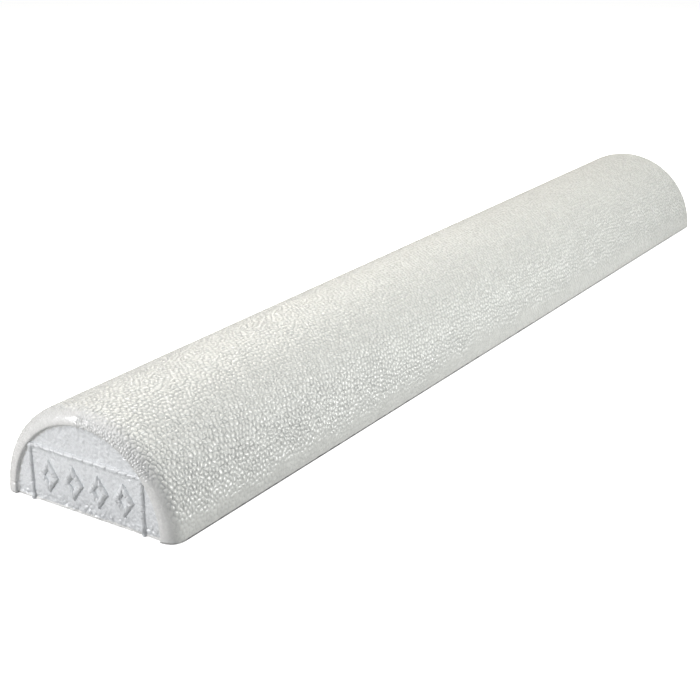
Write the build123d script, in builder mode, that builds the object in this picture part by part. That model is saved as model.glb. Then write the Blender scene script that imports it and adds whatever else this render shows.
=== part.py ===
from build123d import *
from math import floor, sqrt
import os

os.makedirs("parts", exist_ok=True)

# Half-round foam roller, moulded from fused beads. Millimetres.
# +Y runs along its length, the front end faces -Y, +Z is up, and the origin is the middle of the flat base.

# Block
LENGTH = 914.4
RADIUS = 76.2
END_ROUND = 11.0
BASE_ROUND = 1.5

# Dense layers that the hot mould walls leave on the beads
ROLLING_SKIN = 2.0
BASE_SKIN = 2.0
PANEL_THICKNESS = 2.0

# Arched recess in each end, inside a narrow land beside the rounded edge
RIM_LAND = 1.2
RECESS_DEPTH = 2.5

# Three-sided frame raised on each end panel, which runs down to the base
RIDGE_HEIGHT = 1.8
RIDGE_WIDTH = 3.4
FRAME_TOP = 42.3
FRAME_CORNER_OVERRUN = 2.0

# Row of plain diamonds raised inside the frame
DIAMOND_RAISE = 1.8
DIAMOND_WIDTH = 18.0
DIAMOND_STROKE = 4.6
DIAMOND_GAP = 4.0
BADGE_SIDE_MARGIN = 4.5
BADGE_TOP_MARGIN = 5.9
BADGE_BOTTOM_MARGIN = 8.5

# Worked out from the sizes above
HALF_LENGTH = LENGTH / 2
PANEL_RADIUS = RADIUS - END_ROUND - RIM_LAND
PANEL_FACE = HALF_LENGTH - RECESS_DEPTH
CORE_HALF_LENGTH = PANEL_FACE - PANEL_THICKNESS
FRAME_HALF_WIDTH = sqrt((PANEL_RADIUS + FRAME_CORNER_OVERRUN) ** 2 - FRAME_TOP**2)
FRAME_INSIDE_TOP = FRAME_TOP - RIDGE_WIDTH
FRAME_INSIDE_WIDTH = 2 * (FRAME_HALF_WIDTH - RIDGE_WIDTH)
BADGE_WIDTH = FRAME_INSIDE_WIDTH - 2 * BADGE_SIDE_MARGIN
DIAMOND_HEIGHT = FRAME_INSIDE_TOP - BADGE_TOP_MARGIN - BADGE_BOTTOM_MARGIN
DIAMOND_PITCH = DIAMOND_WIDTH + DIAMOND_GAP
DIAMOND_COUNT = floor((BADGE_WIDTH + DIAMOND_GAP) / DIAMOND_PITCH)
DIAMOND_MIDDLE = BADGE_BOTTOM_MARGIN + DIAMOND_HEIGHT / 2

# A profile drawn on the ground at +X turns about this axis over the top to -X.
OVER_THE_TOP = Axis((0, 0, 0), (0, -1, 0))
HALF_TURN = 180


def long_section(radius, half_length, end_round):
    """Rectangle from the long axis out to radius, with its two outer corners rounded."""
    with BuildSketch() as section:
        with Locations((radius / 2, 0)):
            Rectangle(radius, 2 * half_length)
        fillet(section.vertices().group_by(Axis.X)[-1], end_round)
    return section.sketch


def above_base(radius):
    """Sketch of everything over the base skin that a circle of this radius about the origin holds."""
    with BuildSketch() as arch:
        Circle(radius)
        with Locations((0, BASE_SKIN)):
            Rectangle(2 * radius, radius, align=(Align.CENTER, Align.MIN), mode=Mode.INTERSECT)
    return arch.sketch


def frame_outline():
    """Legs and top bar of the raised frame, cut off where its corners meet the wall of the recess."""
    with BuildSketch() as outline:
        Rectangle(2 * FRAME_HALF_WIDTH, FRAME_TOP, align=(Align.CENTER, Align.MIN))
        Rectangle(
            FRAME_INSIDE_WIDTH,
            FRAME_INSIDE_TOP,
            align=(Align.CENTER, Align.MIN),
            mode=Mode.SUBTRACT,
        )
        Circle(PANEL_RADIUS, mode=Mode.INTERSECT)
    return outline.sketch


def diamond_row():
    """Row of diamonds, each an outline of even stroke round a smaller opening of the same shape."""
    half_width = DIAMOND_WIDTH / 2
    half_height = DIAMOND_HEIGHT / 2
    side = sqrt(half_width**2 + half_height**2)
    flat_to_middle = half_width * half_height / side
    opening = 1 - DIAMOND_STROKE / flat_to_middle
    with BuildSketch() as row:
        with Locations((0, DIAMOND_MIDDLE)):
            with GridLocations(DIAMOND_PITCH, 0, DIAMOND_COUNT, 1):
                for share, mode in ((1, Mode.ADD), (opening, Mode.SUBTRACT)):
                    Polygon(
                        (half_width * share, 0),
                        (0, half_height * share),
                        (-half_width * share, 0),
                        (0, -half_height * share),
                        mode=mode,
                    )
    return row.sketch


def save(piece, name):
    """Name a finished piece and write it to its own file."""
    piece.label = name
    export_step(piece, f"parts/{name}.step")


# Whole moulding: a half-round block with rounded end edges, a shallow arched recess in each end and a
# small round along both sides of the base
with BuildPart() as moulding:
    revolve(
        long_section(RADIUS, HALF_LENGTH, END_ROUND), axis=OVER_THE_TOP, revolution_arc=HALF_TURN
    )
    for end in (-1, 1):
        with BuildSketch(Plane.XZ.offset(end * HALF_LENGTH)):
            Circle(PANEL_RADIUS)
        extrude(amount=-end * RECESS_DEPTH, mode=Mode.SUBTRACT)
    base_edges = moulding.faces().sort_by(Axis.Z)[0].outer_wire().edges()
    side_edges = [
        edge for edge in base_edges if abs(edge.center().X) > PANEL_RADIUS + RIM_LAND / 4
    ]
    fillet(side_edges, BASE_ROUND)

# Core of light, open-packed beads, which fills everything inside the dense layers
with BuildPart() as bead_core:
    revolve(
        long_section(RADIUS - ROLLING_SKIN, CORE_HALF_LENGTH, END_ROUND - ROLLING_SKIN),
        axis=OVER_THE_TOP,
        revolution_arc=HALF_TURN,
    )
    split(bisect_by=Plane.XY.offset(BASE_SKIN), keep=Keep.TOP)

# Flat skin under the whole block, with the rounded lower edges
with BuildPart() as base_skin:
    add(moulding.part)
    split(bisect_by=Plane.XY.offset(BASE_SKIN), keep=Keep.BOTTOM)

# Skin over the rolling surface, which turns in at both ends as the rounded rims
with BuildPart() as rolling_skin:
    add(moulding.part)
    split(bisect_by=Plane.XY.offset(BASE_SKIN), keep=Keep.TOP)
    add(bead_core.part, mode=Mode.SUBTRACT)
    add(extrude(Plane.XZ * above_base(PANEL_RADIUS), HALF_LENGTH, both=True), mode=Mode.SUBTRACT)

save(bead_core.part, "bead_core")
save(base_skin.part, "base_skin")
save(rolling_skin.part, "rolling_skin")

# Each end: the recessed panel, the raised frame on it and the row of diamonds inside the frame
for name, side in (("front", 1), ("rear", -1)):
    face = Plane.XZ.offset(side * PANEL_FACE)
    with BuildPart() as end_panel:
        with BuildSketch(face):
            add(above_base(PANEL_RADIUS))
        extrude(amount=-side * PANEL_THICKNESS)
    with BuildPart() as frame_ridge:
        with BuildSketch(face):
            add(frame_outline())
        extrude(amount=side * RIDGE_HEIGHT)
    with BuildPart() as badge:
        with BuildSketch(face):
            add(diamond_row())
        extrude(amount=side * DIAMOND_RAISE)
    save(end_panel.part, f"{name}_end_panel")
    save(frame_ridge.part, f"{name}_frame_ridge")
    save(badge.part, f"{name}_badge")
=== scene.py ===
import math

import bpy
import numpy as np
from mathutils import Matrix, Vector


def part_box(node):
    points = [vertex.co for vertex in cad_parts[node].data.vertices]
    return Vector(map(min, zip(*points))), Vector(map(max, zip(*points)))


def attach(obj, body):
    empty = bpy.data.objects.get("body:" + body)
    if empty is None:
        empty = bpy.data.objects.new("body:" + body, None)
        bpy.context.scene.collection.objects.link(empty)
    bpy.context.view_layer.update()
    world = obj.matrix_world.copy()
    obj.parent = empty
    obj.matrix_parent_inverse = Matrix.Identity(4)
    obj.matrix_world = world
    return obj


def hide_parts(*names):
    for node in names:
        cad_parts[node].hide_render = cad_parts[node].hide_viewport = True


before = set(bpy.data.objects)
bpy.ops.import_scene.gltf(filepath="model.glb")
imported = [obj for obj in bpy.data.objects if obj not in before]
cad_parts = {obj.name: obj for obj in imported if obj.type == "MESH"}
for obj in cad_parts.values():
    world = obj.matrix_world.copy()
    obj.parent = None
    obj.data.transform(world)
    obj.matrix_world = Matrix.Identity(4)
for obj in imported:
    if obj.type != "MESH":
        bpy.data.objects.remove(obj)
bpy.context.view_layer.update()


# ---------------------------------------------------------------------------------------------------------
# Rolling skin
# The half-round working surface with its two soft rims: foam beads that the hot curved mould wall has
# pressed flat and melted together into a dense skin about 2 mm thick. It is fused to the core under it, and
# the beads show as low domes between fine seams.
# ---------------------------------------------------------------------------------------------------------
END_ROUND = 0.011
LIP_ROUND = 0.0011
COVE_ROUND = 0.0013
COVE_REACH = 0.0016
OUTER_ARC_POINTS = 33
INNER_ARC_POINTS = 9
ROLLING_STEP = 0.00066
ROLLING_SEED = 11
BEAD_PITCH = 0.0039
RIM_BEAD_PITCH = 0.0025
RIM_SEED = 20

skin_low, skin_high = (np.array(corner, float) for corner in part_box("rolling_skin"))
panel_low, panel_high = (np.array(corner, float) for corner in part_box("front_end_panel"))
radius = skin_high[2]
half_length = skin_high[1]
base_top = skin_low[2]
recess_radius = panel_high[2]
panel_face = -panel_low[1]
panel_back = -panel_high[1]
core_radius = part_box("bead_core")[1][2]
core_round = END_ROUND - (radius - core_radius)


def rounded_path(corners, rounds, arc_points):
    """Straight runs joined by tangent arcs: each corner is cut where its arc touches the two runs, a turn of
    angle t and round r taking r * tan(t / 2) of each."""
    corners = np.array(corners, float)
    pieces = [corners[:1]]
    for before, corner, after, round_radius in zip(corners, corners[1:], corners[2:], rounds):
        inward = (before - corner) / np.linalg.norm(before - corner)
        onward = (after - corner) / np.linalg.norm(after - corner)
        half_angle = math.acos(np.clip(inward @ onward, -1, 1)) / 2
        middle = (inward + onward) / np.linalg.norm(inward + onward)
        centre = corner + middle * round_radius / math.sin(half_angle)
        start = corner + inward * round_radius / math.tan(half_angle) - centre
        end = corner + onward * round_radius / math.tan(half_angle) - centre
        turn = math.acos(np.clip(start @ end / round_radius**2, -1, 1))
        share = np.linspace(0, 1, arc_points)[:, None]
        arc = (start * np.sin((1 - share) * turn) + end * np.sin(share * turn)) / math.sin(turn)
        pieces.append(centre + arc)
    pieces.append(corners[-1:])
    return np.concatenate(pieces)


def divided_evenly(line, step):
    """The same line with its points at equal distances of about one step, and those distances along it."""
    along = np.concatenate([[0], np.cumsum(np.linalg.norm(np.diff(line, axis=0), axis=1))])
    even = np.linspace(0, along[-1], round(along[-1] / step) + 1)
    return np.stack([np.interp(even, along, values) for values in line.T], -1), even


# Random numbers come from a square net this many wide, which repeats beyond its edge.
NET = 512


def drift(a, b, size, seed):
    """Smooth random field from 0 to 1: one random number at each crossing of a square net of this size,
    blended between crossings by the curve 3t^2 - 2t^3."""
    numbers = np.random.default_rng(seed).random((NET, NET))
    column = np.floor(a / size).astype(int)
    row = np.floor(b / size).astype(int)
    across = a / size - column
    up = b / size - row
    across = across * across * (3 - 2 * across)
    up = up * up * (3 - 2 * up)
    left, right, low, high = column % NET, (column + 1) % NET, row % NET, (row + 1) % NET
    lower = numbers[left, low] * (1 - across) + numbers[right, low] * across
    upper = numbers[left, high] * (1 - across) + numbers[right, high] * across
    return lower * (1 - up) + upper * up


def smooth_step(value, start, end):
    """0 before start, 1 after end, and 3t^2 - 2t^3 of the share t between them."""
    share = np.clip((value - start) / (end - start), 0, 1)
    return share * share * (3 - 2 * share)


# How the beads lie. The honeycomb is turned by an angle in radians, so that no row of beads runs along the
# roller. The other numbers are shares of the distance between beads.
PACKING_TURN = 1.1
PACKING_BEND = 0.25
PACKING_BEND_SIZE = 5.0
CENTRE_SHAKE = 0.75


def fused_beads(a, b, pitch, seed):
    """Beads squeezed together on a surface measured by a and b: centres on a bent and shaken honeycomb of
    this pitch, each point belonging to the nearest centre. Gives each point's distance to the seam it shares
    with the second nearest, its distance to where three beads meet, its place from its own centre and four
    random numbers of its bead."""
    bend = PACKING_BEND * pitch
    bend_size = PACKING_BEND_SIZE * pitch
    bent_a = a + bend * (2 * drift(a, b, bend_size, seed + 1) - 1)
    bent_b = b + bend * (2 * drift(a, b, bend_size, seed + 2) - 1)
    a = bent_a * math.cos(PACKING_TURN) - bent_b * math.sin(PACKING_TURN)
    b = bent_a * math.sin(PACKING_TURN) + bent_b * math.cos(PACKING_TURN)
    row_height = pitch * math.sqrt(0.75)
    shake = np.random.default_rng(seed).random((6, NET, NET)).astype(np.float32)
    row = np.floor(b / row_height).astype(int)
    near = np.full(a.shape, np.inf, np.float32)
    second = near.copy()
    third = near.copy()
    best = [np.zeros(a.shape, np.float32) for _ in range(4)]
    numbers = [np.zeros(a.shape, np.float32) for _ in range(4)]
    for row_step in range(-2, 3):
        this_row = row + row_step
        shift = (this_row % 2) * 0.5
        column = np.floor(a / pitch - shift).astype(int)
        for column_step in range(-2, 3):
            this_column = column + column_step
            index = (this_row % NET, this_column % NET)
            centre_a = (this_column + shift + 0.5 + (shake[0][index] - 0.5) * CENTRE_SHAKE) * pitch
            centre_b = (this_row + 0.5 + (shake[1][index] - 0.5) * CENTRE_SHAKE) * row_height
            squared = ((a - centre_a) ** 2 + (b - centre_b) ** 2).astype(np.float32)
            closer = squared < near
            middle = ~closer & (squared < second)
            third = np.where(closer | middle, second, np.minimum(third, squared))
            for store, value in zip(best[2:], (centre_a, centre_b)):
                store[middle] = value[middle]
            for first, other in zip(best[:2], best[2:]):
                other[closer] = first[closer]
            second = np.where(closer, near, np.where(middle, squared, second))
            near = np.where(closer, squared, near)
            for store, value in zip(best[:2], (centre_a, centre_b)):
                store[closer] = value[closer]
            for store, layer in zip(numbers, shake[2:]):
                store[closer] = layer[index][closer]
    apart = np.hypot(best[2] - best[0], best[3] - best[1])
    to_seam = (second - near) / (2 * apart)
    to_meeting = np.sqrt(third) - np.sqrt(near)
    return to_seam, to_meeting, a - best[0], b - best[1], numbers


# How a bead stands. Rise, shoulder and opening size are shares of the distance between beads, depths and
# widths are metres, and the tip is a slope.
BEAD_RISE = 0.115
LEAST_RISE = 0.75
RISE_SPREAD = 0.5
BEAD_SHOULDER = 0.38
DOME_POWER = 0.75
BEAD_TIP = 0.045
GROOVE_DEPTH = 0.00032
GROOVE_WIDTH = 0.00056
LEAST_OPENING = 0.8
OPENING_SIZE = 0.9
OPENING_FADE = (0.3, 0.7)
PIT_DEPTH = 0.00022
PIT_WIDTH = 0.00060
PITLESS_SHARE = 0.35
PIT_SHADE = 0.6


def bead_relief(a, b, seed, pitch=BEAD_PITCH):
    """Height of the bead surface in metres, and its seam mask and random tint. Each bead is a pillow whose
    rise is h * (1 - (1 - s)^2)^0.75, where s goes from 0 at its seam to 1 inside it; it is tipped at random
    without a step at the seam. A groove exp(-(d / w)^2) runs along every seam, a little deeper along some,
    and there is a pit at most places where three beads meet."""
    to_seam, to_meeting, from_a, from_b, numbers = fused_beads(a, b, pitch, seed)
    inside = np.clip(to_seam / (BEAD_SHOULDER * pitch), 0, 1)
    opening = smooth_step(drift(a, b, OPENING_SIZE * pitch, seed + 3), *OPENING_FADE)
    groove = np.exp(-((to_seam / GROOVE_WIDTH) ** 2)) * (LEAST_OPENING + (1 - LEAST_OPENING) * opening)
    pit = np.exp(-((to_meeting / PIT_WIDTH) ** 2)) * (numbers[3] > PITLESS_SHARE)
    rise = BEAD_RISE * pitch * (LEAST_RISE + RISE_SPREAD * numbers[2])
    height = rise * (1 - (1 - inside) ** 2) ** DOME_POWER - BEAD_RISE * pitch
    height += BEAD_TIP * inside * ((numbers[0] - 0.5) * from_a + (numbers[1] - 0.5) * from_b)
    # The seam mask marks the grooves and pits where the materials paint shade; the pit shade sets how much a
    # pit gets.
    seam = np.clip(groove + PIT_SHADE * pit, 0, 1)
    return height - GROOVE_DEPTH * groove - PIT_DEPTH * pit, seam, numbers[2]


def outward_normals(points):
    """Unit normals of a grid of points that bends round the Y axis, from the cross product of its two
    directions, turned so that most of them point away from that axis."""
    along = np.gradient(points, axis=0)
    across = np.gradient(points, axis=1)
    normal = np.cross(along, across)
    normal /= np.linalg.norm(normal, axis=-1, keepdims=True)
    return normal * np.sign((normal[..., 0] * points[..., 0] + normal[..., 2] * points[..., 2]).mean())


def grid_quads(rows, columns, closed_rows=False, closed_columns=False):
    """Quads between neighbours of a grid whose points are numbered row by row. A closed direction also joins
    its last line to its first."""
    row = np.arange(rows if closed_rows else rows - 1)[:, None]
    column = np.arange(columns if closed_columns else columns - 1)[None, :]
    next_row = (row + 1) % rows
    next_column = (column + 1) % columns
    corners = (
        row * columns + column,
        next_row * columns + column,
        next_row * columns + next_column,
        row * columns + next_column,
    )
    return np.stack(corners, -1).reshape(-1, 4)


SHARP_DEGREES = 40


def make_piece(name, points, faces, marks=None):
    """A mesh object from points, lists of faces with equal corner counts, and a number from 0 to 1 for each
    point in each named mark. Faces that meet at more than the sharp angle keep a sharp edge."""
    counts = np.concatenate([np.full(len(group), group.shape[1]) for group in faces])
    corners = np.concatenate([group.reshape(-1) for group in faces]).astype(np.int32)
    starts = np.concatenate([[0], np.cumsum(counts)[:-1]]).astype(np.int32)
    mesh = bpy.data.meshes.new(name)
    mesh.vertices.add(len(points))
    mesh.vertices.foreach_set("co", points.astype(np.float32).reshape(-1))
    mesh.loops.add(len(corners))
    mesh.loops.foreach_set("vertex_index", corners)
    mesh.polygons.add(len(counts))
    mesh.polygons.foreach_set("loop_start", starts)
    mesh.update(calc_edges=True)
    for mark, values in (marks or {}).items():
        layer = mesh.attributes.new(mark, "FLOAT", "POINT")
        layer.data.foreach_set("value", values.astype(np.float32).reshape(-1))
    mesh.shade_smooth()
    mesh.set_sharp_from_angle(angle=math.radians(SHARP_DEGREES))
    piece = bpy.data.objects.new(name, mesh)
    bpy.context.scene.collection.objects.link(piece)
    return piece


# Long section of the skin, as distance from the long axis and place along Y. It starts at the front panel's
# face, goes up a small cove in the recess, over the rim, along the roller, and into the rear recess.
outer_line, outer_along = divided_evenly(
    rounded_path(
        [
            (recess_radius - COVE_REACH, -panel_face),
            (recess_radius, -panel_face),
            (recess_radius, -half_length),
            (radius, -half_length),
            (radius, half_length),
            (recess_radius, half_length),
            (recess_radius, panel_face),
            (recess_radius - COVE_REACH, panel_face),
        ],
        (COVE_ROUND, LIP_ROUND, END_ROUND, END_ROUND, LIP_ROUND, COVE_ROUND),
        OUTER_ARC_POINTS,
    ),
    ROLLING_STEP,
)
inner_line = rounded_path(
    [
        (recess_radius, panel_back),
        (core_radius, panel_back),
        (core_radius, -panel_back),
        (recess_radius, -panel_back),
    ],
    (core_round, core_round),
    INNER_ARC_POINTS,
)


def swept_over(line, columns):
    """A long section carried over the roller from foot to foot: at angle t its point (r, y) is at
    (r * cos t, y, r * sin t), and t starts and ends where that point is level with the base skin's top.
    Gives the points and their angles."""
    distance = line[:, :1]
    foot = np.arcsin(base_top / distance)
    angle = foot + (math.pi - 2 * foot) * np.linspace(0, 1, columns)[None, :]
    across = distance * np.cos(angle)
    length = np.broadcast_to(line[:, 1:], angle.shape)
    return np.stack([across, length, distance * np.sin(angle)], -1), angle


foot_angle = math.asin(base_top / radius)
skin_turns = round(radius * (math.pi - 2 * foot_angle) / ROLLING_STEP) + 1
over, outer_angle = swept_over(outer_line, skin_turns)
under, _ = swept_over(inner_line, skin_turns)
along = np.broadcast_to(outer_along[:, None], outer_angle.shape)
around = radius * outer_angle
above_base = radius * np.minimum(outer_angle, math.pi - outer_angle)

# The rims have smaller beads than the curved face. They fade into each other on the rim's round.
RIM_FADE = 0.55
loose_height, loose_seam, loose_tint = bead_relief(along, around, ROLLING_SEED)
small_height, small_seam, small_tint = bead_relief(along, around, RIM_SEED, RIM_BEAD_PITCH)
beyond_rim = smooth_step(outer_line[:, :1], radius - RIM_FADE * END_ROUND, radius)
height = small_height + (loose_height - small_height) * beyond_rim
seam = small_seam + (loose_seam - small_seam) * beyond_rim
tint = small_tint + (loose_tint - small_tint) * beyond_rim

# Beads are pressed flatter in a band over the base, whose upper edge wanders, and elsewhere vary in patches.
PRESSED_BAND = 0.015
PRESSED_STRENGTH = 0.35
BAND_FADE = 0.012
BAND_WANDER = 0.012
BAND_WANDER_SIZE = 0.016
LEAST_STRENGTH = 0.9
STRENGTH_SPREAD = 0.2
STRENGTH_PATCH = 0.022
band_edge = PRESSED_BAND + BAND_WANDER * (drift(along, around, BAND_WANDER_SIZE, ROLLING_SEED + 7) - 0.5)
looseness = smooth_step(above_base - band_edge, -BAND_FADE, BAND_FADE)
patchy = LEAST_STRENGTH + STRENGTH_SPREAD * drift(along, around, STRENGTH_PATCH, ROLLING_SEED + 5)

# Round the rims the beads stand out only from the right shoulder to the crown, between these angles in
# radians, and are pressed nearly smooth elsewhere.
RIM_STRENGTH = 0.22
RIM_BEADS_START = (0.55, 0.80)
RIM_BEADS_END = (1.45, 1.70)
RIM_WANDER = 0.35
RIM_WANDER_SIZE = 0.012
side_angle = outer_angle + RIM_WANDER * (drift(along, around, RIM_WANDER_SIZE, ROLLING_SEED + 6) - 0.5)
loose_rim = smooth_step(side_angle, *RIM_BEADS_START) * (1 - smooth_step(side_angle, *RIM_BEADS_END))
rim = RIM_STRENGTH + (1 - RIM_STRENGTH) * np.maximum(beyond_rim, loose_rim)

# Beads stand out a little more on the flanks near each end, and sink away at the very foot.
FLANK_GAIN = 0.2
FLANK_REACH = (0.015, 0.13)
FLANK_HEIGHT = 0.045
FLANK_SPREAD = 0.026
FOOT_STRENGTH = 0.3
FOOT_FADE = 0.004
from_end = half_length - np.abs(over[..., 1])
near_end = 1 - smooth_step(from_end, *FLANK_REACH)
flank = near_end * np.exp(-(((above_base - FLANK_HEIGHT) / FLANK_SPREAD) ** 2))
strength = (PRESSED_STRENGTH + (1 - PRESSED_STRENGTH) * looseness) * patchy * rim
strength = strength * (1 + FLANK_GAIN * flank)
settled = FOOT_STRENGTH + (1 - FOOT_STRENGTH) * smooth_step(above_base, 0.0, FOOT_FADE)

# A short dent runs across the foot of the front rim on its left side.
NICK_HEIGHT = 0.0082
NICK_WIDTH = 0.0007
NICK_DEPTH = 0.0009
NICK_END = 0.006
on_front_rim = smooth_step(-over[..., 1], half_length - END_ROUND, half_length - NICK_END)
nick = np.exp(-(((over[..., 2] - NICK_HEIGHT) / NICK_WIDTH) ** 2)) * on_front_rim * (over[..., 0] < 0)
relief = height * strength * settled - NICK_DEPTH * nick
over = over + outward_normals(over) * relief[..., None]

section = np.concatenate([over, under])
rings = len(section)
blank = np.zeros(under.shape[:2])
skin_faces = [
    grid_quads(rings, skin_turns, closed_rows=True),
    (np.arange(rings) * skin_turns)[None, ::-1],
    (np.arange(rings) * skin_turns + skin_turns - 1)[None, :],
]
# The seam mark is painted shade in the grooves, weaker where the beads are pressed flatter.
skin_marks = {
    "seam": np.concatenate([seam * np.clip(strength, 0, 1), blank]),
    "tint": np.concatenate([tint, blank + 0.5]),
}
rolling_skin = make_piece("rolling_skin_foam", section.reshape(-1, 3), skin_faces, skin_marks)


def calculated(tree, operation, *values, clamped=False):
    """Output of a new Math node, whose inputs are these numbers and sockets in order."""
    node = tree.nodes.new("ShaderNodeMath")
    node.operation = operation
    node.use_clamp = clamped
    for socket, value in zip(node.inputs, values):
        if isinstance(value, bpy.types.NodeSocket):
            tree.links.new(value, socket)
        else:
            socket.default_value = value
    return node.outputs[0]


# Grain detail in octaves, and how much rougher the grain and a seam make the surface.
GRAIN_DETAIL = 4
GRAIN_ROUGHNESS = 0.12
SEAM_ROUGHNESS = 0.25


def foam_grain():
    """Group that turns a bead's seam and tint marks, and fine noise, into the foam's colour, roughness and
    height: seams get painted shade and a duller surface, and each bead is a tone of its own."""
    group = bpy.data.node_groups.new("Bead foam grain", "ShaderNodeTree")
    sides = (
        ("INPUT", "NodeSocketColor", "Bead colour"),
        ("INPUT", "NodeSocketColor", "Seam shade colour"),
        ("INPUT", "NodeSocketFloat", "Seam shade strength"),
        ("INPUT", "NodeSocketFloat", "Bead variation"),
        ("INPUT", "NodeSocketFloat", "Bead roughness"),
        ("INPUT", "NodeSocketFloat", "Grain scale"),
        ("INPUT", "NodeSocketFloat", "Grain contrast"),
        ("OUTPUT", "NodeSocketColor", "Colour"),
        ("OUTPUT", "NodeSocketFloat", "Roughness"),
        ("OUTPUT", "NodeSocketFloat", "Height"),
    )
    for side, kind, socket in sides:
        group.interface.new_socket(name=socket, in_out=side, socket_type=kind)
    nodes, links = group.nodes, group.links
    given = nodes.new("NodeGroupInput").outputs
    result = nodes.new("NodeGroupOutput").inputs
    seam_mark = nodes.new("ShaderNodeAttribute")
    seam_mark.attribute_name = "seam"
    tint_mark = nodes.new("ShaderNodeAttribute")
    tint_mark.attribute_name = "tint"
    place = nodes.new("ShaderNodeTexCoord")
    grain = nodes.new("ShaderNodeTexNoise")
    grain.inputs["Detail"].default_value = GRAIN_DETAIL
    links.new(place.outputs["Object"], grain.inputs["Vector"])
    links.new(given["Grain scale"], grain.inputs["Scale"])
    links.new(grain.outputs["Fac"], result["Height"])

    seam_shaded = nodes.new("ShaderNodeMix")
    seam_shaded.data_type = "RGBA"
    # Painted shade: the seam mark mixes the darker seam colour into the bead colour along the grooves and
    # pits.
    darkness = calculated(group, "MULTIPLY", seam_mark.outputs["Fac"], given["Seam shade strength"])
    links.new(darkness, seam_shaded.inputs["Factor"])
    links.new(given["Bead colour"], seam_shaded.inputs["A"])
    links.new(given["Seam shade colour"], seam_shaded.inputs["B"])

    fleck = calculated(group, "SUBTRACT", grain.outputs["Fac"], 0.5)
    own_shade = calculated(group, "SUBTRACT", tint_mark.outputs["Fac"], 0.5)
    bead_shade = calculated(group, "MULTIPLY_ADD", own_shade, given["Bead variation"], 1.0)
    shade = calculated(group, "MULTIPLY_ADD", fleck, given["Grain contrast"], bead_shade)
    tinted = nodes.new("ShaderNodeVectorMath")
    tinted.operation = "SCALE"
    links.new(seam_shaded.outputs["Result"], tinted.inputs[0])
    links.new(shade, tinted.inputs["Scale"])
    links.new(tinted.outputs[0], result["Colour"])

    rough = calculated(group, "MULTIPLY_ADD", fleck, GRAIN_ROUGHNESS, given["Bead roughness"])
    dull = calculated(group, "MULTIPLY_ADD", seam_mark.outputs["Fac"], SEAM_ROUGHNESS, rough, clamped=True)
    links.new(dull, result["Roughness"])
    return group


GRAIN_DEPTH = 0.0002
grain_group = foam_grain()


def foam(name, values, bump, gloss):
    """A Principled foam material that takes its colour, roughness and fine height from the grain group."""
    material = bpy.data.materials.new(name)
    material.use_nodes = True
    nodes, links = material.node_tree.nodes, material.node_tree.links
    surface = nodes["Principled BSDF"]
    grain = nodes.new("ShaderNodeGroup")
    grain.node_tree = grain_group
    for socket, value in values.items():
        grain.inputs[socket].default_value = value
    relief = nodes.new("ShaderNodeBump")
    relief.inputs["Strength"].default_value = bump
    relief.inputs["Distance"].default_value = GRAIN_DEPTH
    links.new(grain.outputs["Height"], relief.inputs["Height"])
    links.new(grain.outputs["Colour"], surface.inputs["Base Color"])
    links.new(grain.outputs["Roughness"], surface.inputs["Roughness"])
    links.new(relief.outputs["Normal"], surface.inputs["Normal"])
    surface.inputs["Specular IOR Level"].default_value = gloss
    return material


rolling_foam = foam(
    "Rolling skin foam",
    {
        "Bead colour": (0.80, 0.80, 0.785, 1),
        # The seam colour is painted shade in the grooves between beads.
        "Seam shade colour": (0.44, 0.45, 0.45, 1),
        "Seam shade strength": 0.8,
        "Bead variation": 0.10,
        "Bead roughness": 0.22,
        "Grain scale": 900,
        "Grain contrast": 0.08,
    },
    bump=0.3,
    gloss=1.0,
)
rolling_skin.data.materials.append(rolling_foam)
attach(rolling_skin, "root")
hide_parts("rolling_skin")


# ---------------------------------------------------------------------------------------------------------
# End panels
# The flat arch inside each rim, shaped by the end plate of the mould, which presses its beads flatter than
# the curved wall does and leaves them rough only along the foot. Each is fused to the core behind it.
# ---------------------------------------------------------------------------------------------------------
PANEL_STEP = 0.00055
PANEL_SEEDS = {"front": 71, "rear": 91}
END_BEAD_PITCH = 0.0036
recess_half = math.sqrt(recess_radius**2 - base_top**2)


def arch_patch(wide, high):
    """Places over the arch, as x and z: a Coons patch, which adds the blends between its straight foot and
    its crown and between its two flanks, and takes away the blend of the four corners."""
    foot_angle = math.asin(base_top / recess_radius)
    crown = (0.25 * math.pi, 0.75 * math.pi)
    u = np.linspace(0, 1, wide)[:, None, None]
    v = np.linspace(0, 1, high)[None, :, None]

    def arc(start, end, share):
        angle = start + (end - start) * share
        return recess_radius * np.concatenate([np.cos(angle), np.sin(angle)], -1)

    right_foot = np.array([recess_half, base_top])
    left_foot = right_foot * (-1, 1)
    foot = left_foot + (right_foot - left_foot) * u
    top = arc(crown[1], crown[0], u)
    left = arc(math.pi - foot_angle, crown[1], v)
    right = arc(foot_angle, crown[0], v)
    corners = (1 - u) * ((1 - v) * left_foot + v * top[:1]) + u * ((1 - v) * right_foot + v * top[-1:])
    return (1 - v) * foot + v * top + (1 - u) * left + u * right - corners


# The rough foot of an end face: its height and how that wanders, how far it fades, and its lumps, in metres
# except for the shares.
FOOT_HEIGHT = 0.0095
LEAST_FOOT = 0.6
FOOT_SPREAD = 0.8
FOOT_WAVE = 0.011
FOOT_EDGE = (0.35, 1.1)
LUMP_DEPTH = 0.0011
LUMP_SIZE = 0.0040
SMALL_LUMP_SIZE = 0.0021
SMALL_LUMP_SHARE = 0.6
LUMP_SINK = 0.9
# How strongly its beads stand out on the flat and, in addition, at the foot.
FLAT_STRENGTH = 0.16
ROUGH_STRENGTH = 0.34
END_PATCH = 0.009
LEAST_PATCH = 0.5
# Faint upright streaks towards the crown, and small specks all over.
STREAK_DEPTH = 0.0006
STREAK_WIDTH = 0.0026
STREAK_STRETCH = 8
STREAK_FADE = (0.030, 0.055)
SPECK_DEPTH = 0.00045
SPECK_SIZE = 0.0015


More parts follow.
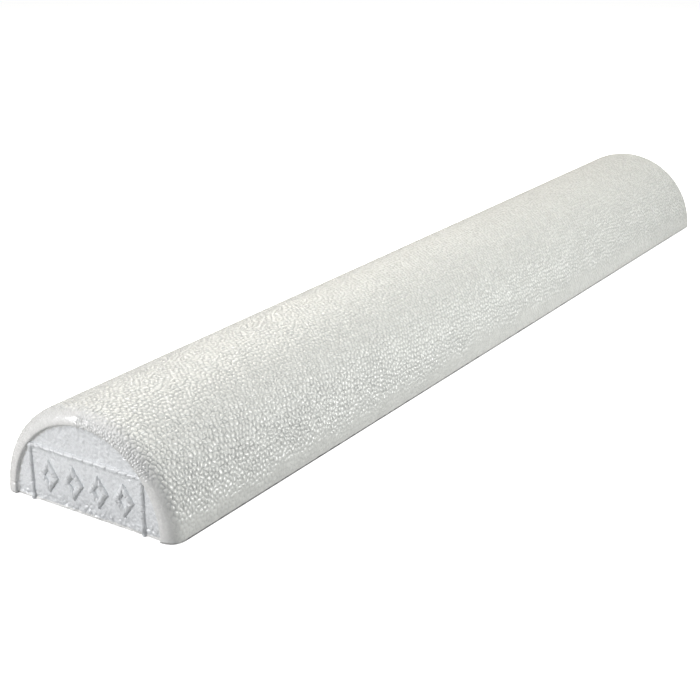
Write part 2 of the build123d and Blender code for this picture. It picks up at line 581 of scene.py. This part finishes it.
def end_relief(x, z, seed, squeezed=0.0):
    """Height of an end face, its seam mask and tint: beads pressed flat on the panel, standing out where
    they are squeezed into a raised line and towards the crumbly foot, and faint upright streaks near the
    crown."""
    height, seam, tint = bead_relief(x, z, seed, END_BEAD_PITCH)
    foot_line = FOOT_HEIGHT * (LEAST_FOOT + FOOT_SPREAD * drift(x, z * 0, FOOT_WAVE, seed + 8))
    foot = 1 - smooth_step(z, FOOT_EDGE[0] * foot_line, FOOT_EDGE[1] * foot_line)
    patchy = LEAST_PATCH + drift(x, z, END_PATCH, seed + 5)
    strength = (FLAT_STRENGTH + ROUGH_STRENGTH * foot) * patchy + squeezed
    small_lumps = SMALL_LUMP_SHARE * drift(x, z, SMALL_LUMP_SIZE, seed + 9)
    lumps = LUMP_DEPTH * foot * (drift(x, z, LUMP_SIZE, seed + 6) + small_lumps - LUMP_SINK)
    streak = drift(x, z / STREAK_STRETCH, STREAK_WIDTH, seed + 7) - 0.5
    streaks = STREAK_DEPTH * smooth_step(z, *STREAK_FADE) * streak
    specks = SPECK_DEPTH * (drift(x, z, SPECK_SIZE, seed + 10) - 0.5)
    return height * strength + lumps + streaks + specks, seam * np.clip(strength, 0, 1), tint


def backed_sheet(sheet, axis, levels, marks):
    """A closed slab: the sheet, a grid of points, with a wall from its outline through the given levels
    along an axis and a flat face at the last of them. Gives its points, its faces and its marks, and the
    numbers of the wall's points; each wall point keeps the marks of the outline."""
    rows, columns = sheet.shape[:2]
    numbered = np.arange(rows * columns).reshape(rows, columns)
    outline = np.concatenate(
        [numbered[0, :-1], numbered[:-1, -1], numbered[-1, :0:-1], numbered[:0:-1, 0]]
    )
    points = sheet.reshape(-1, 3)
    wall = np.tile(points[outline], (len(levels), 1))
    wall[:, axis] = np.repeat(levels, len(outline))
    rings = len(points) + np.arange(len(wall)).reshape(len(levels), -1)
    lower = np.concatenate([outline[None, :], rings[:-1]])
    walls = np.stack([lower, np.roll(lower, -1, 1), np.roll(rings, -1, 1), rings], -1).reshape(-1, 4)
    faces = [grid_quads(rows, columns), walls, rings[-1:]]
    flat = {mark: values.reshape(-1) for mark, values in marks.items()}
    marks = {mark: np.append(values, np.tile(values[outline], len(levels))) for mark, values in flat.items()}
    return np.concatenate([points, wall]), faces, marks, rings


panel_places = arch_patch(round(2 * recess_radius / PANEL_STEP), round(recess_radius / PANEL_STEP))
panel_foam = foam(
    "End panel foam",
    {
        # The bead colour is a little cooler than the rolling skin's: painted cool light on the end faces.
        # The seam colour is painted shade in the grooves between beads.
        "Bead colour": (0.78, 0.80, 0.815, 1),
        "Seam shade colour": (0.44, 0.45, 0.46, 1),
        "Seam shade strength": 0.8,
        "Bead variation": 0.10,
        "Bead roughness": 0.26,
        "Grain scale": 1100,
        "Grain contrast": 0.08,
    },
    bump=0.4,
    gloss=0.8,
)
for end, side in (("front", -1), ("rear", 1)):
    height, seam, tint = end_relief(panel_places[..., 0], panel_places[..., 1], PANEL_SEEDS[end])
    panel_sheet = np.stack([panel_places[..., 0], side * (panel_face + height), panel_places[..., 1]], -1)
    panel_marks = {"seam": seam, "tint": tint}
    points, faces, marks, _ = backed_sheet(panel_sheet, 1, [side * panel_back], panel_marks)
    if side > 0:
        faces = [group[:, ::-1] for group in faces]
    panel = make_piece(f"{end}_end_panel_foam", points, faces, marks)
    panel.data.materials.append(panel_foam)
    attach(panel, "root")
    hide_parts(f"{end}_end_panel")


# ---------------------------------------------------------------------------------------------------------
# Base skin
# The flat face that the roller rests on, pressed smooth by the lower half of the mould, with its two long
# edges and the corners of its ends rounded. It is fused to the core and to the foot of the rolling skin.
# ---------------------------------------------------------------------------------------------------------
BASE_ROUND = 0.0015
BASE_ROUND_POINTS = 7
RECESS_EDGE_ROUND = 0.0006
NOTCH_SLOPE = 0.00002
BASE_STEP = 0.0013
BASE_WALL_LEVELS = (0.4, 0.7, 1.0)
BASE_SEED = 41
BASE_STRENGTH = 0.45
BASE_PATCH = 0.03
LEAST_BASE_PATCH = 0.6
BASE_PATCH_SPREAD = 0.8


def edge_graded(length, round_radius, step):
    """Places from 0 to length, evenly spaced in the middle and drawn together over a rounded edge at each
    end, where place r * (1 - cos t) follows even turns t of the round."""
    rounding = round_radius * (1 - np.cos(np.linspace(0, math.pi / 2, BASE_ROUND_POINTS)))[:-1]
    count = round((length - 2 * round_radius) / step)
    middle = np.linspace(round_radius, length - round_radius, count + 1)
    return np.concatenate([rounding, middle, (length - rounding)[::-1]])


def roundover(depth, round_radius):
    """Rise of a rounded lower edge at this depth inside the outline: r - sqrt(r^2 - (r - d)^2)."""
    inside = np.clip(round_radius - depth, 0, round_radius)
    return round_radius - np.sqrt(round_radius**2 - inside**2)


end_centre = half_length - END_ROUND
land_edge = radius - END_ROUND
side_columns = edge_graded(2 * radius, BASE_ROUND, BASE_STEP) - radius
inside_notch = np.abs(side_columns) < recess_half
columns = np.concatenate(
    [
        side_columns[side_columns < -recess_half],
        [-recess_half, NOTCH_SLOPE - recess_half],
        side_columns[inside_notch],
        [recess_half - NOTCH_SLOPE, recess_half],
        side_columns[side_columns > recess_half],
    ]
)
# The outline along Y over each column: round the corners of the ends, and back to the panels in the notches.
beyond_land = np.clip(np.abs(columns) - land_edge, 0, END_ROUND)
reach = end_centre + np.sqrt(END_ROUND**2 - beyond_land**2)
in_notch = np.abs(columns) < recess_half - NOTCH_SLOPE / 2
reach = np.where(in_notch, panel_face, reach)
rows = edge_graded(2 * half_length, BASE_ROUND, BASE_STEP) - half_length
row_share = 1 - (half_length - np.abs(rows)) / half_length
flat_x = np.broadcast_to(columns[None, :], (len(rows), len(columns)))
flat_y = np.sign(rows)[:, None] * row_share[:, None] * reach[None, :]
past_corner = np.hypot(
    np.clip(np.abs(flat_x) - land_edge, 0, None), np.clip(np.abs(flat_y) - end_centre, 0, None)
)
rise = roundover(END_ROUND - past_corner, BASE_ROUND)
notch_rise = roundover(panel_face - np.abs(flat_y), RECESS_EDGE_ROUND)
rise = np.maximum(rise, np.where(in_notch[None, :], notch_rise, 0))
height, seam, tint = bead_relief(flat_x, flat_y, BASE_SEED)
patchy = LEAST_BASE_PATCH + BASE_PATCH_SPREAD * drift(flat_x, flat_y, BASE_PATCH, BASE_SEED + 5)
sunk_in = np.clip(-height * BASE_STRENGTH * patchy, 0, None)
base_sheet = np.stack([flat_x, flat_y, rise + sunk_in], -1)
# The seam mark is painted shade in the grooves, varying in patches with how far the beads sink.
base_marks = {"seam": seam * np.clip(patchy, 0, 1), "tint": tint}
points, faces, marks, rings = backed_sheet(base_sheet, 2, base_top * np.array(BASE_WALL_LEVELS), base_marks)
# The wall in each recess carries on the end panel's face above it, bead for bead.
for end, side in (("front", -1), ("rear", 1)):
    in_recess = np.abs(points[rings, 1] - side * panel_face) < NOTCH_SLOPE
    on_foot = rings[in_recess & (np.abs(points[rings, 0]) < recess_half)]
    height, seam, tint = end_relief(points[on_foot, 0], points[on_foot, 2], PANEL_SEEDS[end])
    points[on_foot, 1] = side * (panel_face + height)
    marks["seam"][on_foot] = seam
    marks["tint"][on_foot] = tint
base_skin = make_piece("base_skin_foam", points, faces, marks)
base_foam = foam(
    "Base skin foam",
    {
        "Bead colour": (0.80, 0.80, 0.785, 1),
        # The seam colour is painted shade in the grooves between beads.
        "Seam shade colour": (0.44, 0.45, 0.45, 1),
        "Seam shade strength": 0.4,
        "Bead variation": 0.10,
        "Bead roughness": 0.5,
        "Grain scale": 900,
        "Grain contrast": 0.08,
    },
    bump=0.35,
    gloss=0.6,
)
base_skin.data.materials.append(base_foam)
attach(base_skin, "root")
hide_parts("base_skin")


# ---------------------------------------------------------------------------------------------------------
# Frame ridges
# The three-sided line raised on each end panel, with softly rounded shoulders: beads squeezed into a groove
# cut in the end plate. Its legs run down to the base and its top corners run into the rim.
# ---------------------------------------------------------------------------------------------------------
RIDGE_WIDTH = 0.0034
RAISED_STEP = 0.0006
SECTION_POINTS = 15
FULLNESS = 2.0
SUNK = 0.0005
SQUEEZE = 0.15
JOINT_PITCH = 0.0085
JOINT_DEPTH = 0.00035
JOINT_WIDTH = 0.0006
JOINT_LEAN = 0.2

ridge_low, ridge_high = (np.array(corner, float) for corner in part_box("front_frame_ridge"))
ridge_height = -panel_face - ridge_low[1]
ridge_top = ridge_high[2]
ridge_half = ridge_high[0]


def raised_section(width, height):
    """Section of a raised line, as place across and height over the panel: the upper half of the rounded
    square |x / a|^p + |y / b|^p = 1, where p is the fullness, with its feet sunk under the panel's face."""
    turn = np.linspace(math.pi, 0, SECTION_POINTS)
    across = width / 2 * np.sign(np.cos(turn)) * np.abs(np.cos(turn)) ** (2 / FULLNESS)
    up = height * np.abs(np.sin(turn)) ** (2 / FULLNESS)
    return np.stack([np.pad(across, 1, mode="edge"), np.pad(up, 1, constant_values=-SUNK)], -1)


def raised_line(x, z, along, section, top, seed):
    """Height over the panel, seam mask and tint of a raised line: its section, lumpy with the beads squeezed
    into it and nicked by a groove exp(-(d / w)^2) where two long beads meet along it."""
    height, seam, tint = end_relief(x, z, seed, SQUEEZE)
    to_joint = fused_beads(along, JOINT_LEAN * section[None, :, 0] + 0 * along, JOINT_PITCH, seed + 20)[0]
    joint = np.exp(-((to_joint / JOINT_WIDTH) ** 2))
    lift = np.clip(section[None, :, 1] / top, 0, 1)
    # The joints join the seam mask, so their grooves get painted shade too.
    return section[None, :, 1] + (height - JOINT_DEPTH * joint) * lift, np.maximum(seam, joint * lift), tint


section = raised_section(RIDGE_WIDTH, ridge_height)
middle_half = ridge_half - RIDGE_WIDTH / 2
middle_top = ridge_top - RIDGE_WIDTH / 2
leg_steps = round(middle_top / RAISED_STEP)
bar_steps = round(2 * middle_half / RAISED_STEP)
leg = np.linspace(0, 1, leg_steps, endpoint=False)
bar = np.linspace(-1, 1, bar_steps, endpoint=False)
path_x = np.concatenate([np.full(leg_steps, -1.0), bar, np.full(leg_steps + 1, 1.0)])[:, None]
path_z = np.concatenate([leg, np.ones(bar_steps), np.linspace(1, 0, leg_steps + 1)])[:, None]
ridge_x = path_x * (middle_half + section[None, :, 0])
ridge_z = path_z * (middle_top + section[None, :, 0])
ridge_along = RAISED_STEP * np.arange(len(path_x), dtype=float)[:, None] + 0 * ridge_x
for end, side in (("front", -1), ("rear", 1)):
    stand, seam, tint = raised_line(ridge_x, ridge_z, ridge_along, section, ridge_height, PANEL_SEEDS[end])
    ridge_points = np.stack([ridge_x, side * (panel_face + stand), ridge_z], -1)
    ridge_rows, ridge_columns = ridge_points.shape[:2]
    ridge_faces = [
        grid_quads(ridge_rows, ridge_columns, closed_columns=True),
        np.arange(ridge_columns)[None, :],
        ((ridge_rows - 1) * ridge_columns + np.arange(ridge_columns))[None, ::-1],
    ]
    if side > 0:
        ridge_faces = [group[:, ::-1] for group in ridge_faces]
    ridge_marks = {"seam": seam, "tint": tint}
    ridge = make_piece(f"{end}_frame_ridge_foam", ridge_points.reshape(-1, 3), ridge_faces, ridge_marks)
    ridge.data.materials.append(panel_foam)
    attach(ridge, "root")
    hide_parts(f"{end}_frame_ridge")


# ---------------------------------------------------------------------------------------------------------
# Badges
# The row of plain diamonds raised inside each frame, with the same rounded shoulders as the frame. They are
# squeezed into pockets of the end plate, so they are one with the panel behind them.
# ---------------------------------------------------------------------------------------------------------
DIAMOND_WIDTH = 0.018
DIAMOND_STROKE = 0.0046
DIAMOND_COUNT = 4

badge_low, badge_high = (np.array(corner, float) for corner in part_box("front_badge"))
badge_height = -panel_face - badge_low[1]
half_width = DIAMOND_WIDTH / 2
half_tall = (badge_high[2] - badge_low[2]) / 2
badge_middle = (badge_high[2] + badge_low[2]) / 2
diamond_pitch = (badge_high[0] - badge_low[0] - DIAMOND_WIDTH) / (DIAMOND_COUNT - 1)
flat_to_middle = half_width * half_tall / math.hypot(half_width, half_tall)
section = raised_section(DIAMOND_STROKE, badge_height)
side_steps = round(math.hypot(half_width, half_tall) / RAISED_STEP)
falling = np.linspace(1, 0, side_steps, endpoint=False)
rising = 1 - falling
loop_x = np.concatenate([falling, -rising, -falling, rising])[:, None]
loop_z = np.concatenate([rising, falling, -rising, -falling])[:, None]
share = 1 + (section[None, :, 0] - DIAMOND_STROKE / 2) / flat_to_middle
diamond_along = RAISED_STEP * np.arange(len(loop_x), dtype=float)[:, None] + 0 * share
for end, side in (("front", -1), ("rear", 1)):
    points, faces, seams, tints = [], [], [], []
    for place in range(DIAMOND_COUNT):
        centre = badge_low[0] + half_width + place * diamond_pitch
        diamond_x = centre + loop_x * half_width * share
        diamond_z = badge_middle + loop_z * half_tall * share
        stand, seam, tint = raised_line(
            diamond_x, diamond_z, diamond_along, section, badge_height, PANEL_SEEDS[end] + place
        )
        grid = np.stack([diamond_x, side * (panel_face + stand), diamond_z], -1)
        quads = grid_quads(*grid.shape[:2], closed_rows=True, closed_columns=True)
        faces.append(quads + place * grid.shape[0] * grid.shape[1])
        points.append(grid.reshape(-1, 3))
        seams.append(seam)
        tints.append(tint)
    faces = np.concatenate(faces)
    badge = make_piece(
        f"{end}_badge_foam",
        np.concatenate(points),
        [faces if side > 0 else faces[:, ::-1]],
        {"seam": np.stack(seams), "tint": np.stack(tints)},
    )
    badge.data.materials.append(panel_foam)
    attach(badge, "root")
    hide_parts(f"{end}_badge")


# ---------------------------------------------------------------------------------------------------------
# Bead core
# The light, open-packed beads that fill the whole block inside its skins. It is fused to all of them and is
# seen only if the roller is cut, so it keeps its plain shape.
# ---------------------------------------------------------------------------------------------------------
core_foam = foam(
    "Core foam",
    {
        "Bead colour": (0.82, 0.82, 0.80, 1),
        "Seam shade colour": (0.5, 0.5, 0.5, 1),
        "Seam shade strength": 0.0,
        "Bead variation": 0.0,
        "Bead roughness": 0.6,
        "Grain scale": 300,
        "Grain contrast": 0.1,
    },
    bump=0.5,
    gloss=0.3,
)
bead_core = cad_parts["bead_core"]
bead_core.data.materials.clear()
bead_core.data.materials.append(core_foam)


# ---------------------------------------------------------------------------------------------------------
# Studio
# A pale floor and a white wall, soft round lights, and the camera. High lights on the left and behind draw
# the highlight along the crown, low ones on the right light the long side, and those in front light the end.
# ---------------------------------------------------------------------------------------------------------
FLOOR_HALF = 3.0
FLOOR_DROP = 0.0001
FLOOR_SEEN = 0.9
FLOOR_TONE = 0.39
FLOOR_GLOW = 0.9

floor_corners = np.array(
    [
        (-FLOOR_HALF, -FLOOR_HALF, -FLOOR_DROP),
        (FLOOR_HALF, -FLOOR_HALF, -FLOOR_DROP),
        (FLOOR_HALF, FLOOR_HALF, -FLOOR_DROP),
        (-FLOOR_HALF, FLOOR_HALF, -FLOOR_DROP),
    ]
)
floor = make_piece("floor", floor_corners, [np.arange(4)[None, :]])
floor_material = bpy.data.materials.new("Pale floor")
floor_material.use_nodes = True
floor_tree = floor_material.node_tree
floor_surface = floor_tree.nodes["Principled BSDF"]
floor_surface.inputs["Roughness"].default_value = 1.0
floor_surface.inputs["Specular IOR Level"].default_value = 0.0
floor_surface.inputs["Emission Color"].default_value = (1, 1, 1, 1)
seen = floor_tree.nodes.new("ShaderNodeLightPath").outputs["Is Camera Ray"]
tone = floor_tree.nodes.new("ShaderNodeMix")
tone.data_type = "RGBA"
tone.inputs["A"].default_value = (FLOOR_TONE, FLOOR_TONE, FLOOR_TONE, 1)
tone.inputs["B"].default_value = (FLOOR_SEEN, FLOOR_SEEN, FLOOR_SEEN, 1)
glow = calculated(floor_tree, "MULTIPLY", seen, FLOOR_GLOW)
floor_tree.links.new(seen, tone.inputs["Factor"])
floor_tree.links.new(tone.outputs["Result"], floor_surface.inputs["Base Color"])
floor_tree.links.new(glow, floor_surface.inputs["Emission Strength"])
floor.data.materials.append(floor_material)

# The wall is white to the camera and gives no light of its own.
world = bpy.data.worlds.new("White wall")
world.use_nodes = True
wall = world.node_tree.nodes["Background"]
wall.inputs["Color"].default_value = (1, 1, 1, 1)
wall_seen = world.node_tree.nodes.new("ShaderNodeLightPath")
world.node_tree.links.new(wall_seen.outputs["Is Camera Ray"], wall.inputs["Strength"])
bpy.context.scene.world = world


def direction(azimuth, elevation):
    """Unit vector from the object towards a place this many degrees round from its front end, to the right,
    and this many degrees up: (sin a cos e, -cos a cos e, sin e)."""
    a, e = math.radians(azimuth), math.radians(elevation)
    return Vector((math.sin(a) * math.cos(e), -math.cos(a) * math.cos(e), math.sin(e)))


def set_round(holder, target, azimuth, elevation, distance):
    """Place a light or camera at this distance from the target, in this direction, facing it."""
    holder.location = target + direction(azimuth, elevation) * distance
    holder.rotation_euler = direction(azimuth, elevation).to_track_quat("Z", "Y").to_euler()
    bpy.context.scene.collection.objects.link(holder)


# Lights aimed at the roller's middle and, nearer, at its front third, so the light falls off along it:
# target, distance and size. Each light then has its azimuth, elevation, watts and colour.
MIDDLE = (Vector((0, 0, 0.03)), 2.2, 0.8)
FRONT = (Vector((0, -0.3, 0.03)), 1.3, 0.5)
LIGHTS = {
    "rear_high": (MIDDLE, 180, 70, 9.6, (1.0, 0.99, 0.905)),
    "rear_left": (MIDDLE, 210, 30, 2.0, (1.0, 0.95, 0.93)),
    "left_high": (MIDDLE, 270, 70, 13.2, (1.0, 0.985, 0.93)),
    "front_high": (FRONT, 0, 50, 4.0, (0.98, 0.99, 1.0)),
    "right_front": (FRONT, 60, 30, 1.0, (0.89, 0.945, 1.0)),
    "right_rear_low": (FRONT, 120, 12, 5.9, (0.985, 1.0, 0.98)),
    "right_rear": (FRONT, 120, 30, 4.6, (0.985, 1.0, 0.945)),
    "left_rear": (FRONT, 220, 40, 3.3, (1.0, 0.96, 0.84)),
    "left_front": (FRONT, 315, 50, 2.8, (1.0, 0.96, 0.945)),
    "left_front_low": (FRONT, 330, 12, 8.3, (0.995, 0.99, 1.0)),
}
for name, ((target, distance, width), azimuth, elevation, watts, colour) in LIGHTS.items():
    lamp = bpy.data.lights.new(name, "AREA")
    lamp.shape = "DISK"
    lamp.size = width
    lamp.energy = watts
    lamp.color = colour
    set_round(bpy.data.objects.new(name, lamp), target, azimuth, elevation, distance)

LENS_MILLIMETRES = 70.3
SENSOR_MILLIMETRES = 36
CAMERA_TARGET = Vector((-0.0271, -0.0993, 0))
CAMERA_AZIMUTH = 33.26
CAMERA_ELEVATION = 20.54
CAMERA_DISTANCE = 1.191

view = bpy.data.cameras.new("camera")
view.lens = LENS_MILLIMETRES
view.sensor_width = SENSOR_MILLIMETRES
camera = bpy.data.objects.new("camera", view)
set_round(camera, CAMERA_TARGET, CAMERA_AZIMUTH, CAMERA_ELEVATION, CAMERA_DISTANCE)
bpy.context.scene.camera = camera
bpy.context.scene.view_settings.view_transform = "Standard"
